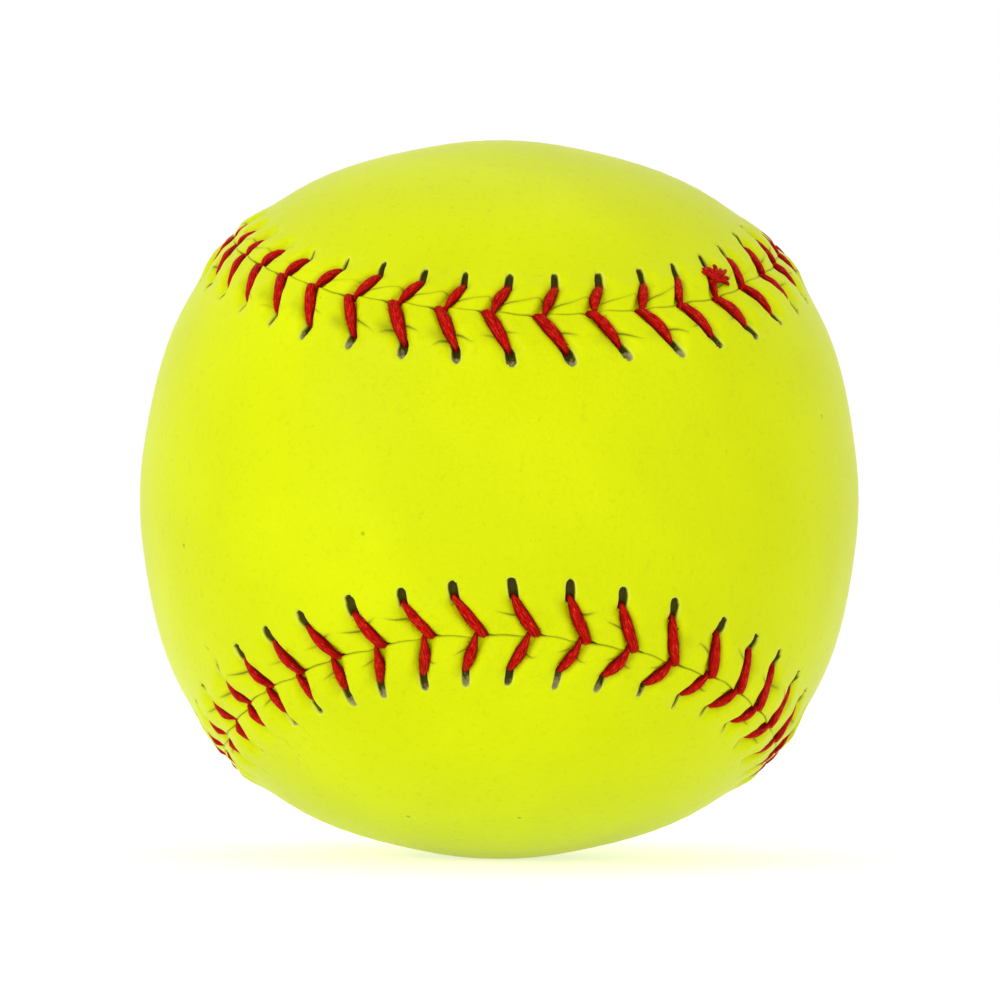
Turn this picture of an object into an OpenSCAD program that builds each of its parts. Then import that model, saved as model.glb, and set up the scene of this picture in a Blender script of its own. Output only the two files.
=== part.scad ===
// A sewn softball: a wound core inside a cover of two like panels, closed by a V stitch.
// The seam is one closed curve between the panels, and two threads lace it from side to side.
// +Z is up, the waist of the front panel faces -Y, and the origin is the ball's centre.

/* [Ball] */
// Diameter of the ball across the wide ends of a panel
ball_d = 95.6; // [90:0.1:104]
// Diameter of the fibre core, as a share of the ball's diameter
core_share = 0.523; // [0.3:0.001:0.56]
// Thickness of the coarse inner winding, as a share of the ball's diameter
inner_winding_share = 0.115; // [0.05:0.001:0.145]
// Thickness of the rubber coat on the outer winding
coat_t = 0.5; // [0.2:0.1:1]

/* [Cover] */
// Thickness of the cover
cover_t = 1.4; // [1:0.1:1.8]
// Height of the puffs between two stitches
puff_h = 0.7; // [0.3:0.1:1]
// Play of the raised margin above the thread that runs beneath it
margin_play = 0.5; // [0.1:0.05:0.6]
// Distance over which the raised margin runs out into the round of the panel
fade_w = 28; // [24:1:30]
// Width of the gap between the two panels
seam_gap = 0.3; // [0.2:0.05:0.6]

/* [Stitches] */
// Number of stitches around the seam
stitch_count = 88; // [80:4:92]
// Diameter of the sewing thread where it passes through the cover
thread_d = 1; // [0.7:0.1:1.1]
// Widest diameter of a stitch on the cover
stitch_d = 1.6; // [1:0.1:1.8]
// Distance from the seam to the place where the thread comes up
stitch_reach = 4.15; // [3.8:0.05:5.5]
// Distance by which the pull of the sewing shifts all the slots towards the front panel
slot_shift = 0.5; // [0:0.1:0.6]
// Distance along the seam by which a stitch leans forward
stitch_lean = 2.25; // [1.5:0.05:3]
// Length of the slot that the thread comes up through
slot_l = 3; // [1.5:0.1:3.2]
// Room beside the thread in its slot
slot_play = 0.1; // [0.05:0.05:0.3]
// Stitch at which the sewing ends, counted from the middle of the front waist
finish_stitch = 4; // [0:1:40]

/* [Loose ends] */
// Diameter of the knot at the end of the sewing
knot_d = 1.8; // [1.2:0.1:2.4]
// Diameter of one loose strand
strand_d = 0.55; // [0.3:0.05:0.8]
// Length of the loose strands beyond the knot
strand_l = 1.9; // [1:0.1:3]
// Number of loose strands
strand_count = 5; // [3:1:6]

/* [Hidden] */

$fn = 96;

// Shape of the seam, as shares of the ball's radius: how deep it winds, how square its bends are
wind_share = 0.3105;
square_share = -0.0179;
// Place of stitch 0, as a share of the stitch pitch past the middle of the front waist
first_stitch_share = 0.6;
// Angle between two steps along the seam
seam_step = 1;

// Room around the thread in the seam and below the cover
clearance = 0.08;
// Height of a stitch above the faceted cover, so that it rests on the puffs without cutting them
seat_gap = 0.28;
// Gap between two layers of the winding
layer_gap = 0.05;
// Give of the yarn between the coat and the wide ends of the cover
lining_gap = 0.5;

cover_yellow = "#dcf01e";
thread_red = "#c4101c";

ball_r = ball_d / 2;
core_r = core_share * ball_r;
thread_r = thread_d / 2;
cover_inner_r = ball_r - cover_t;
coat_r = cover_inner_r - lining_gap;
outer_winding_r = coat_r - coat_t - layer_gap;
inner_winding_r = core_r + inner_winding_share * ball_d;

// Unit vector of the seam, at an angle around the ball that is 0 at the top of the front waist
function unit(v) = v / norm(v);
function seam_dir(a) =
    let (main_share = 1 - wind_share)
    unit([
        main_share * sin(a) + wind_share * sin(3 * a) - square_share * sin(5 * a),
        -2 * sqrt(main_share * wind_share) * cos(2 * a),
        main_share * cos(a) - wind_share * cos(3 * a) - square_share * cos(5 * a)
    ]);

// Length of the seam up to each angle, on the round of the ball
function seam_piece(a) = ball_r * norm(seam_dir(a + seam_step) - seam_dir(a));
seam_table = [
    for (a = 0, s = 0; a <= 360; s = s + seam_piece(a), a = a + seam_step)
        [s, a]
];
seam_l = seam_table[len(seam_table) - 1][0];
pitch = seam_l / stitch_count;

function seam_angle(s) = lookup(s - seam_l * floor(s / seam_l), seam_table);
function seam_tangent(s) =
    let (a = seam_angle(s))
    unit(seam_dir(a + seam_step) - seam_dir(a - seam_step));

// Unit vector of a place s along the seam and d beside it, where d is positive on the front panel
function place(s, d) =
    let (u = seam_dir(seam_angle(s)))
    let (n = cross(seam_tangent(s), u))
    let (shifted = d + slot_shift * min(1, abs(d) / stitch_reach))
    let (bow = shifted / ball_r * 180 / PI)
    u * cos(bow) + n * sin(bow);

// Where each stitch meets the seam, and the slots that its two legs come up through
function stitch_s(i) = (i + first_stitch_share) * pitch;
function slot_s(i) = stitch_s(i) + stitch_lean;
slot_w = thread_d + 2 * slot_play;
slot_start = stitch_reach - thread_r - clearance;
slot_end = slot_start + slot_l;
notch_w = thread_r + 4 * clearance;
apex_shift = thread_r + clearance;

// The cover is lifted beside the seam by the thread that runs beneath it from slot to slot
under_run = norm([pitch + stitch_lean, stitch_reach + slot_shift]);
under_sag = under_run * under_run / (8 * cover_inner_r);
margin_lift = thread_d + 2 * clearance + under_sag + margin_play - lining_gap;
function fade(d) = min(1, max(0, (d - slot_end) / fade_w));
function inner_r(d) = cover_inner_r + margin_lift * (1 + cos(180 * fade(d))) / 2;
function outer_r(d) = inner_r(d) + cover_t;

// Rows of a panel from its edge inwards. Each has its distance from the seam in the dip at a
// stitch and on the puff beside it, and the height there as shares of the puff's height
edge_row = [notch_w, seam_gap / 2];
edge_shares = [0, 0.7];
crest_d = slot_start / 2;
crest_shares = [0.45, 1];
slot_shares = [0.15, 0.5];
rim_shares = [0, 0.15];

// The middle line of a panel, to which its inner rows close, as a share of the panel's length
spine_share = 0.67;
row_shares = [0.2, 0.4, 0.6, 0.8, 0.93];
panel_half = 180 - acos(-seam_dir(0)[1]);
function front_azimuth(u) = atan2(u[0], -u[1]);
function back_azimuth(u) = atan2(u[2], u[1]);
function spine_angle(azimuth) = spine_share * panel_half * sin(90 * azimuth / panel_half);
function spine_dir(s, side) =
    let (u = seam_dir(seam_angle(s)))
    let (turn = spine_angle(side > 0 ? front_azimuth(u) : back_azimuth(u)))
    side > 0 ? [sin(turn), -cos(turn), 0] : [0, cos(turn), sin(turn)];

// A place on the way from the rim of the slots to the middle line, and its distance from the seam
function arc_between(u, v, share) =
    let (angle = acos(u * v))
    (u * sin((1 - share) * angle) + v * sin(share * angle)) / sin(angle);
function inward_d(s, side, share) =
    slot_end + share * acos(place(s, side * slot_end) * spine_dir(s, side)) * PI / 180 * ball_r;
function inward_dir(s, side, share) = arc_between(place(s, side * slot_end), spine_dir(s, side), share);

// The points that one stitch gives a panel: the dip runs under the stitch's leg, and the slot is in it
function dip_s(i, side, d) =
    stitch_s(i) + stitch_lean * d / stitch_reach - side * apex_shift / 2 * max(0, 1 - d / stitch_reach);
function outer_point(i, side, d, along, share) =
    (outer_r(d) + share * puff_h) * place(dip_s(i, side, d) + along, side * d);
function slot_point(i, side, d, along, r) = r * place(slot_s(i) + along, side * d);
function stitch_points(i, side) = [
    outer_point(i, side, edge_row[0], 0, edge_shares[0]),
    outer_point(i, side, edge_row[1], pitch / 2, edge_shares[1]),
    outer_point(i, side, crest_d, 0, crest_shares[0]),
    outer_point(i, side, crest_d, pitch / 2, crest_shares[1]),
    slot_point(i, side, slot_start, -slot_w / 2, outer_r(slot_start) + slot_shares[0] * puff_h),
    slot_point(i, side, slot_start, slot_w / 2, outer_r(slot_start) + slot_shares[0] * puff_h),
    slot_point(i, side, slot_start, pitch / 2, outer_r(slot_start) + slot_shares[1] * puff_h),
    slot_point(i, side, slot_end, -slot_w / 2, outer_r(slot_end) + rim_shares[0] * puff_h),
    slot_point(i, side, slot_end, slot_w / 2, outer_r(slot_end) + rim_shares[0] * puff_h),
    slot_point(i, side, slot_end, pitch / 2, outer_r(slot_end) + rim_shares[1] * puff_h),
    inner_r(notch_w) * place(dip_s(i, side, notch_w), side * notch_w),
    slot_point(i, side, slot_start, -slot_w / 2, inner_r(slot_start)),
    slot_point(i, side, slot_start, slot_w / 2, inner_r(slot_start)),
    slot_point(i, side, slot_start, pitch / 2, inner_r(slot_start)),
    slot_point(i, side, slot_end, -slot_w / 2, inner_r(slot_end)),
    slot_point(i, side, slot_end, slot_w / 2, inner_r(slot_end)),
    slot_point(i, side, slot_end, pitch / 2, inner_r(slot_end))
];
stitch_point_count = 17;

// Index of point k of stitch i, and of point j of an inner row, whose points stand two stitches apart
row_count = len(row_shares);
row_points = stitch_count / 2;
function at(i, k) = stitch_point_count * ((i + stitch_count) % stitch_count) + k;
function row_at(layer, row, j) =
    let (first = stitch_point_count * stitch_count + (layer * row_count + row) * row_points)
    first + (j + row_points) % row_points;

function quad(a, b, c, d) = [[a, b, c], [a, c, d]];
function flat(lists) = [for (list = lists) for (item = list) item];

// Faces between stitch i and the next: outer skin, slot wall, inner skin and the panel's edge
function stitch_faces(i) = concat(
    quad(at(i, 0), at(i, 1), at(i, 3), at(i, 2)),
    quad(at(i, 1), at(i + 1, 0), at(i + 1, 2), at(i, 3)),
    [[at(i, 2), at(i, 5), at(i, 4)]],
    quad(at(i, 2), at(i, 3), at(i, 6), at(i, 5)),
    quad(at(i, 3), at(i + 1, 2), at(i + 1, 4), at(i, 6)),
    quad(at(i, 5), at(i, 6), at(i, 9), at(i, 8)),
    quad(at(i, 6), at(i + 1, 4), at(i + 1, 7), at(i, 9)),
    quad(at(i, 4), at(i, 5), at(i, 12), at(i, 11)),
    quad(at(i, 5), at(i, 8), at(i, 15), at(i, 12)),
    quad(at(i, 8), at(i, 7), at(i, 14), at(i, 15)),
    quad(at(i, 7), at(i, 4), at(i, 11), at(i, 14)),
    [[at(i, 10), at(i, 11), at(i, 12)], [at(i, 10), at(i, 12), at(i, 13)]],
    [[at(i, 10), at(i, 13), at(i + 1, 10)], [at(i + 1, 10), at(i, 13), at(i + 1, 11)]],
    quad(at(i, 13), at(i, 12), at(i, 15), at(i, 16)),
    quad(at(i + 1, 11), at(i, 13), at(i, 16), at(i + 1, 14)),
    [[at(i, 1), at(i, 0), at(i, 10)], [at(i, 1), at(i, 10), at(i + 1, 10)]],
    [[at(i, 1), at(i + 1, 10), at(i + 1, 0)]]
);

// Faces of the inner rows, for the outer skin on layer 0 and the inner skin on layer 1
function turned(layer, faces) = layer == 0 ? faces : [for (f = faces) [f[0], f[2], f[1]]];
function rim(layer, i) = layer == 0 ? [at(i, 7), at(i, 8), at(i, 9)] : [at(i, 14), at(i, 15), at(i, 16)];
function fan_faces(layer, j) =
    let (edge = concat(rim(layer, 2 * j), rim(layer, 2 * j + 1), [rim(layer, 2 * j + 2)[0]]))
    let (near = row_at(layer, 0, j), far = row_at(layer, 0, j + 1))
    concat(
        [for (k = [0:2]) [edge[k], edge[k + 1], near]],
        [[edge[3], far, near]],
        [for (k = [3:5]) [edge[k], edge[k + 1], far]]
    );
function row_faces(layer, row, j) = quad(
    row_at(layer, row, j),
    row_at(layer, row, j + 1),
    row_at(layer, row + 1, j + 1),
    row_at(layer, row + 1, j)
);
// The last row is laced to itself across the middle line, each point to its mirror image
function mirror_sum(side) = round(((side > 0 ? seam_l / 2 : 0) - 2 * slot_s(0)) / (2 * pitch));
function distinct(f) = f[0] != f[1] && f[1] != f[2] && f[2] != f[0];
function cap_faces(layer, total) = [
    for (k = [0:row_points / 2 - 1])
        let (a = row_at(layer, row_count - 1, ceil(total / 2) + k))
        let (b = row_at(layer, row_count - 1, ceil(total / 2) + k + 1))
        let (c = row_at(layer, row_count - 1, floor(total / 2) - k))
        let (d = row_at(layer, row_count - 1, floor(total / 2) - k - 1))
        for (f = [[a, d, c], [a, b, d]])
            if (distinct(f)) f
];

module panel(side) {
    stitches = [0:stitch_count - 1];
    pairs = [0:row_points - 1];
    points = concat(
        flat([for (i = stitches) stitch_points(i, side)]),
        [
            for (layer = [0, 1]) for (share = row_shares) for (j = pairs)
                let (s = slot_s(2 * j))
                let (d = inward_d(s, side, share))
                (layer == 0 ? outer_r(d) : inner_r(d)) * inward_dir(s, side, share)
        ]
    );
    faces = concat(
        flat([for (i = stitches) stitch_faces(i)]),
        [for (layer = [0, 1]) each turned(layer, flat([for (j = pairs) fan_faces(layer, j)]))],
        [
            for (layer = [0, 1]) for (row = [0:row_count - 2]) for (j = pairs)
                each turned(layer, row_faces(layer, row, j))
        ],
        turned(0, cap_faces(0, mirror_sum(side))),
        turned(1, cap_faces(1, mirror_sum(side)))
    );
    polyhedron(points = points, faces = side > 0 ? faces : turned(1, faces), convexity = 6);
}

// One leg of a stitch, from below its slot over the cover to the seam and down between the panels.
// Each ring of the thread has a place and a radius
under_r = inner_r(0) - clearance - thread_r;
middle_d = stitch_reach / 2;
stitch_r = stitch_d / 2;
// A stitch lies flattened on the cover: its height as a share of its width
flat_share = 0.6;
function leg_rings(i, side) = [
    [under_r * place(slot_s(i), side * stitch_reach), thread_r],
    [
        (outer_r(0) + slot_shares[0] * puff_h + seat_gap + thread_r)
            * place(slot_s(i), side * stitch_reach),
        thread_r
    ],
    [
        (outer_r(0) + crest_shares[0] * puff_h + seat_gap + flat_share * stitch_r)
            * place(stitch_s(i) + (stitch_lean - side * apex_shift) / 2, side * middle_d),
        stitch_r
    ],
    [
        (outer_r(0) + seat_gap + thread_r) * place(stitch_s(i) - side * apex_shift, side * thread_r),
        thread_r
    ],
    [under_r * place(stitch_s(i) - side * apex_shift, -side * thread_r), thread_r]
];

// A thread sews a leg on one side and the next on the other, from the stitch after the last one on
function thread_rings(first_side) = [
    for (k = [1:stitch_count])
        each leg_rings(finish_stitch + k, k % 2 == 1 ? first_side : -first_side)
];

// A tube through the rings, with its cross-section carried along without a twist
tube_sides = 5;
function ring_tangent(p, k) =
    let (before = k > 0 ? unit(p[k] - p[k - 1]) : unit(p[1] - p[0]))
    let (after = k < len(p) - 1 ? unit(p[k + 1] - p[k]) : before)
    unit(before + after);
function carried(n, t, next_t) = n - n * next_t / (1 + t * next_t) * (t + next_t);
function next_normal(n, t, k) = k < len(t) - 1 ? carried(n, t[k], t[k + 1]) : n;
function flattened(spoke, up) = spoke - up * (spoke * up) * (1 - flat_share);
module tube(rings) {
    p = [for (ring = rings) ring[0]];
    count = len(p);
    t = [for (k = [0:count - 1]) ring_tangent(p, k)];
    normals = [
        for (k = 0, n = unit(cross(t[0], p[1])); k < count; n = next_normal(n, t, k), k = k + 1)
            unit(n)
    ];
    points = [
        for (k = [0:count - 1]) for (m = [0:tube_sides - 1])
            let (angle = m * 360 / tube_sides)
            let (spoke = normals[k] * cos(angle) + cross(t[k], normals[k]) * sin(angle))
            p[k] + rings[k][1] * flattened(spoke, unit(p[k]))
    ];
    faces = concat(
        [[for (m = [0:tube_sides - 1]) m]],
        [[for (m = [0:tube_sides - 1]) count * tube_sides - 1 - m]],
        [
            for (k = [0:count - 2]) for (m = [0:tube_sides - 1])
                let (a = k * tube_sides + m)
                let (b = k * tube_sides + (m + 1) % tube_sides)
                each quad(a, a + tube_sides, b + tube_sides, b)
        ]
    );
    polyhedron(points = points, faces = faces, convexity = 10);
}

module shell(outer, inner) {
    difference() {
        sphere(r = outer);
        sphere(r = inner);
    }
}

module fibre_core() {
    color("#b59a6a")
        sphere(r = core_r);
}

module inner_winding() {
    color("#c9c2ae")
        shell(inner_winding_r, core_r + layer_gap);
}

module outer_winding() {
    color("#e4e0d2")
        shell(outer_winding_r, inner_winding_r + layer_gap);
}

module rubber_coat() {
    color("#d8cfae")
        shell(coat_r, outer_winding_r + layer_gap);
}

module cover_front() {
    color(cover_yellow)
        panel(1);
}

module cover_back() {
    color(cover_yellow)
        panel(-1);
}

module thread_first_needle() {
    color(thread_red)
        tube(thread_rings(1));
}

module thread_second_needle() {
    color(thread_red)
        tube(thread_rings(-1));
}

// A knot on the middle of the last leg, with loose strands that fan out along the seam
fan_angle = 26;
module finishing_knot() {
    seat = leg_rings(finish_stitch, -1)[2];
    up = unit(seat[0]);
    along = unit(seam_tangent(stitch_s(finish_stitch)) - up * (up * seam_tangent(stitch_s(finish_stitch))));
    across = cross(up, along);
    centre = seat[0] + up * (flat_share * stitch_r + clearance + knot_d / 2);
    color(thread_red)
        multmatrix([
            [along[0], across[0], up[0], centre[0]],
            [along[1], across[1], up[1], centre[1]],
            [along[2], across[2], up[2], centre[2]],
            [0, 0, 0, 1]
        ]) {
            sphere(d = knot_d, $fn = 32);
            for (k = [0:strand_count - 1])
                rotate([0, 0, (k - (strand_count - 1) / 2) * fan_angle])
                    rotate([0, 90, 0]) {
                        cylinder(d = strand_d, h = knot_d / 2 + strand_l, $fn = 16);
                        translate([0, 0, knot_d / 2 + strand_l])
                            sphere(d = strand_d, $fn = 16);
                    }
        }
}

fibre_core();
inner_winding();
outer_winding();
rubber_coat();
cover_front();
cover_back();
thread_first_needle();
thread_second_needle();
finishing_knot();
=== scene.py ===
"""The looks of a sewn softball: two yellow cover panels, red V stitches, a frayed thread end and a
plain studio. Lengths are in metres, and the ball's centre is the origin."""

import math

import bmesh
import bpy
import numpy as np
from mathutils import Matrix, Vector


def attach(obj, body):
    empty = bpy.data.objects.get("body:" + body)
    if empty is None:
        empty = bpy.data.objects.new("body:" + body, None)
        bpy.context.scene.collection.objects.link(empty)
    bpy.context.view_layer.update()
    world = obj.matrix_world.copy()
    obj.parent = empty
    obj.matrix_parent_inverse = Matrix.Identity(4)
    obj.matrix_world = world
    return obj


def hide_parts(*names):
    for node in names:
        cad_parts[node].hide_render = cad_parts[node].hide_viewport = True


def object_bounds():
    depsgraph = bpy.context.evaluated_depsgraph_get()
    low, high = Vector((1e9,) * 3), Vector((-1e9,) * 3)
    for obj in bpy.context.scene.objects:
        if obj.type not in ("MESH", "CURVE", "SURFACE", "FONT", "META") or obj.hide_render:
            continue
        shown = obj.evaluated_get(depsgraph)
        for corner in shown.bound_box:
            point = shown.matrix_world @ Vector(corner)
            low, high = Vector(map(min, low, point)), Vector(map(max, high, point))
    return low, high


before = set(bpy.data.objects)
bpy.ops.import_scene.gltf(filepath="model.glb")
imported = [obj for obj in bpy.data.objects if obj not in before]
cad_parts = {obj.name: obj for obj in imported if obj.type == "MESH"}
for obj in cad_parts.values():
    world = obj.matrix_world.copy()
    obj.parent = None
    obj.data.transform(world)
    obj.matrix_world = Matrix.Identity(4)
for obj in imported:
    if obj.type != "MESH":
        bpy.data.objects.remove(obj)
cad_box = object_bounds()

bl_info = {
    "name": "Sewn softball",
    "version": (1, 0, 0),
    "blender": (4, 5, 0),
    "location": "3D View > Sidebar > Softball",
    "description": "Builds the cover, the stitches and the studio of a sewn softball",
    "category": "Object",
}

MM = 0.001
BALL_R = 47.8 * MM
# The two panels, as the sign of the distance from the seam on their side of it
FRONT, BACK = 1, -1

# Shape of the seam, as shares of the ball's radius: how deep it winds, how square its bends are
WIND_SHARE = 0.3105
SQUARE_SHARE = -0.0179
# Where the first stitch stands, in stitches from the seam's start
FIRST_STITCH_SHARE = 0.6
# How far a panel's middle line runs out into its two lobes, as a share of the way to the seam
SPINE_SHARE = 0.67

# How the hand-sewn seam departs from its formula, in soft bumps along it. Each entry holds a
# bump's middle stitch, its height in millimetres and its width in stitches. The first table says
# how far the seam is pulled aside, towards the front panel
STRAYS = ((44.4, 0.4, 1.5), (46.4, 0.6, 4.0), (86.0, -0.35, 2.8), (5.0, 0.35, 3.2))
# How far stitches slip along the seam
SLIPS = ((0.2, -0.9, 1.8), (5.5, -0.7, 2.5), (84, -0.3, 4), (42, 0.4, 8))
# How much farther from the seam their holes stand
REACH_PULLS = {
    FRONT: ((42, 0.58, 8), (53, -0.6, 3), (83, -0.4, 5), (1, -0.5, 1)),
    BACK: ((51, -0.9, 4), (37, -0.8, 3), (80.3, -1.0, 3), (2.5, -0.4, 1.5)),
}
# How much more the holes lean forward along the seam
LEAN_PULLS = {
    FRONT: ((50, -1.8, 2.6), (3, -0.3, 2.5), (85, 0.4, 2)),
    BACK: ((81.5, -0.75, 4), (50.5, -2.0, 3.6), (3, -0.45, 2)),
}
# How far the seam ends of the legs slip along the seam
HEAD_PULLS = {FRONT: (), BACK: ((3.6, -1.1, 2.6),)}

# The same with shares from 0 to 1 as heights: how far the leather has closed over the slots
CLOSED_PLACES = {FRONT: ((81, 0.65, 1.9),), BACK: ((80.5, 0.9, 2.8), (37.5, 0.6, 3))}
# How far it covers the seam ends of the legs
HIDDEN_PLACES = ((51.8, 1, 2.4), (79.5, 0.5, 2))
# How long the creases of the back panel run on as arcs from leg to leg
ARC_PLACES = ((0, 1, 7), (80, 0.4, 4))
# How much more than elsewhere the front panel is darkened by the painted shade of puckers
PUCKER_SHADE_PLACES = ((84.9, 1.0, 2),)
# How far the front legs taper off at the seam
TAPER_PLACES = ((51.5, 1, 4), (5.5, 0.9, 3))


def length_setting(name, description, millimetres):
    """A property for a length, whose default is given in millimetres."""
    return bpy.props.FloatProperty(
        name=name, description=description, default=millimetres * MM, unit="LENGTH", precision=5
    )


def colour_setting(name, description, hex_colour):
    """A property for a colour as an sRGB hex value."""
    return bpy.props.StringProperty(name=name, description=description, default=hex_colour)


class BallSizes(bpy.types.PropertyGroup):
    """Sizes of the cover and its stitches."""

    stitch_count: bpy.props.IntProperty(
        name="Stitches", description="Number of stitches around the seam", default=88
    )
    cover_t: length_setting("Cover", "Thickness of the cover", 1.4)
    lift: length_setting(
        "Margin lift", "Height by which the thread below lifts the margin of the cover", 1.45
    )
    fade_w: length_setting("Fade", "Width over which the raised margin runs out", 28)
    puff_h: length_setting("Puffs", "Height of the puffs between stitches", 0.85)
    seam_gap: length_setting("Seam gap", "Gap between the two panels", 0.02)
    edge_roll: length_setting("Edge roll", "Radius of a panel's rolled edge", 0.09)
    reach: length_setting("Reach", "Distance from the seam to the thread's hole", 4.15)
    hole_shift: length_setting("Hole shift", "Shift of all holes towards the front panel", 0.5)
    lean: length_setting("Lean", "Forward lean of a stitch along the seam", 2.25)
    slot_l: length_setting("Slot length", "Length of a stitch slot", 2.85)
    slot_w: length_setting("Slot width", "Width of a stitch slot", 1.0)
    slot_depth: length_setting("Slot depth", "Depth at which the backing shows", 0.75)
    stitch_w: length_setting("Stitch width", "Width of a stitch at its middle", 1.6)
    apex_shift: length_setting("Leg offset", "Distance of a leg from the middle of its V", 0.45)


class BallColours(bpy.types.PropertyGroup):
    """Colours as sRGB hex values."""

    cover: colour_setting("Cover", "Optic yellow of the cover", "#E3F000")
    cover_deep: colour_setting("Cover, deep", "Yellow of the deeper dye", "#DBE700")
    # An olive for random flecks and specks, and for the painted shade in and beside creases, beside
    # puckers, in the seam groove and at the rims of slots
    flecks_and_shade: colour_setting("Flecks and shade", "Olive of flecks, specks and painted shade", "#8E9410")
    slot_dark: colour_setting("Slot", "Shaded wall of a slot", "#4A420C")
    slot_pale: colour_setting("Backing", "Backing seen in a slot", "#AAA474")
    pale_slot_rim: colour_setting("Slot rim", "Pale rim round a slot", "#F4F6A8")
    thread: colour_setting("Thread", "Red of the thread", "#CE0502")
    # A painted highlight on a few fibres, and the painted shade between and under the plies
    thread_glint: colour_setting("Thread glint", "Painted highlight on a few fibres", "#F2623C")
    thread_dark: colour_setting("Thread shade", "Painted shade between and under the plies", "#520401")


def linear(hex_colour):
    """The linear RGBA of an sRGB hex colour."""
    parts = [int(hex_colour[k:k + 2], 16) / 255 for k in (1, 3, 5)]
    return [p / 12.92 if p <= 0.04045 else ((p + 0.055) / 1.055) ** 2.4 for p in parts] + [1.0]


def smooth_step(low, high, value):
    """0 as far as low and 1 from high on, with a smooth rise between, whichever is larger."""
    t = np.clip((value - low) / (high - low), 0, 1)
    return t * t * (3 - 2 * t)


def bell(value):
    """1 at zero, falling off softly on both sides."""
    return np.exp(-(value**2))


def varied(even_and_spread, share):
    """An even value and a spread times a share, added up."""
    even, spread = even_and_spread
    return even + spread * share


def unit(vectors):
    """Vectors of the same directions, each of length 1."""
    return vectors / np.linalg.norm(vectors, axis=-1, keepdims=True)


SEAM_SAMPLES = 2881
TANGENT_STEP = 0.004


class Seam:
    """The closed curve between the two panels, measured along the round of the ball."""

    def __init__(self, count, reach, hole_shift):
        self.reach = reach
        self.hole_shift = hole_shift
        self.angles = np.radians(np.linspace(0, 360, SEAM_SAMPLES))
        points = self.curve(self.angles) * BALL_R
        steps = np.linalg.norm(np.diff(points, axis=0), axis=1)
        self.lengths = np.concatenate([[0], np.cumsum(steps)])
        self.length = self.lengths[-1]
        self.count = count
        self.pitch = self.length / count

    @staticmethod
    def curve(a):
        """Unit vectors of the seam at angles along its formula."""
        main = 1 - WIND_SHARE
        x = main * np.sin(a) + WIND_SHARE * np.sin(3 * a) - SQUARE_SHARE * np.sin(5 * a)
        y = -2 * math.sqrt(main * WIND_SHARE) * np.cos(2 * a)
        z = main * np.cos(a) - WIND_SHARE * np.cos(3 * a) - SQUARE_SHARE * np.cos(5 * a)
        return unit(np.stack([x, y, z], axis=-1))

    def pulls(self, stitches, table):
        """Sum of a table's soft bumps at places along the seam."""
        total = np.zeros_like(stitches, dtype=float)
        for middle, height, width in table:
            away = np.mod(stitches - middle + self.count / 2, self.count) - self.count / 2
            total = total + height * bell(away / width)
        return total

    def place(self, s, d):
        """Unit vectors of places s along the seam and d beside it, towards the front panel."""
        slipped = s + self.pulls(s / self.pitch, SLIPS) * MM
        a = np.interp(np.mod(slipped, self.length), self.lengths, self.angles)
        u = self.curve(a)
        tangent = unit(self.curve(a + TANGENT_STEP) - self.curve(a - TANGENT_STEP))
        n = np.cross(tangent, u)
        bow = ((d + self.hole_shift * np.minimum(1, np.abs(d) / self.reach)) / BALL_R)[..., None]
        return u * np.cos(bow) + n * np.sin(bow)

    def stitch(self, i):
        """Where a stitch stands, as a length along the seam."""
        return (i + FIRST_STITCH_SHARE) * self.pitch


class HandWork:
    """What differs from stitch to stitch on a ball sewn by hand, as seeded shares from -1 to 1."""

    def __init__(self, count, seed):
        spread = np.random.default_rng(seed)
        shares = spread.uniform(-1, 1, (8, count))
        self.puff, self.dip, self.reach, self.lean = shares[:4]
        self.slot, self.width, self.twist, self.fold = shares[4:]


HAND_SEEDS = {FRONT: 11, BACK: 29}
# A pair below is an even value and its spread from stitch to stitch, which varied() adds up.
# First, how much a dip leans on beyond its hole, and how much of the lean differs
LEAN_BEYOND = 0.15
LEAN_SPREAD = 0.16
# A hole's sway grows on beyond it, up to this many times itself, and fades out past the slot
SWAY_LIMIT = 1.5
SWAY_FADE = 6 * MM
# Over what rise of a stitch's place light comes to reach into its slot
LIT_RISE = 0.3
# Heights as shares of puff_h: the even puff, what differs, the grooves between the puffs, and all
# of them at the seam, from where they rise to their full height
PUFF_SHARE = 0.9
PUFF_SPREAD = 0.2
GROOVE_SHARE = 0.45
SEAM_SHARE = 0.64
RISE_W = 2.4 * MM
# Where the puffs start to run out, and over what width
PUFF_END = 2.8 * MM
PUFF_FADE = 3 * MM
# Half width of a groove, and where it ends beside the hole
GROOVE_MM = (1.08, 0.1)
GROOVE_END = 2 * MM
GROOVE_FULL = 0.2 * MM
# The small folds beside the seam: their height, their rise and fade, and the waves that add up to
# them, each with its number round the seam, its turn over a millimetre outwards and its start
FOLD_H = 0.035 * MM
FOLD_RISE = 1.2 * MM
FOLD_END = 3 * MM
FOLD_FADE = 2.6 * MM
FOLD_WAVES = ((149, 2.1, 0), (211, -1.3, 2), (97, 0.8, 0))
# Where a leg ends beside the middle of its dip, and over what length creases start there
LEG_EDGE = 0.65 * MM
CREASE_RISE = 0.2 * MM
# The seeded shares between which creases and the painted shade of puckers come to show
CREASE_CHANCE = (-0.6, 0.1)
PUCKER_SHADE_CHANCE = (-0.5, 0.4)
# Short creases: where they start ahead of a leg and behind it, their slope, their bend to the
# millimetre, their length and how strongly they show
CREASE_STARTS_MM = (2.5, 3.2)
CREASE_START_SPREAD = 0.5 * MM
CREASE_SLOPE = (0.35, 0.25)
CREASE_BEND = 0.1
CREASE_LENGTH_MM = (2.1, 0.6)
CREASE_SHOW = 1.25
# Arcs: where they start, how far they rise and then fall, and the length of those cut short
ARC_START_MM = (1.25, 0.3)
ARC_RISE_MM = (1.0, 0.4)
ARC_FALL_MM = 0.3
ARC_CUT = 1.6 * MM
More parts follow.
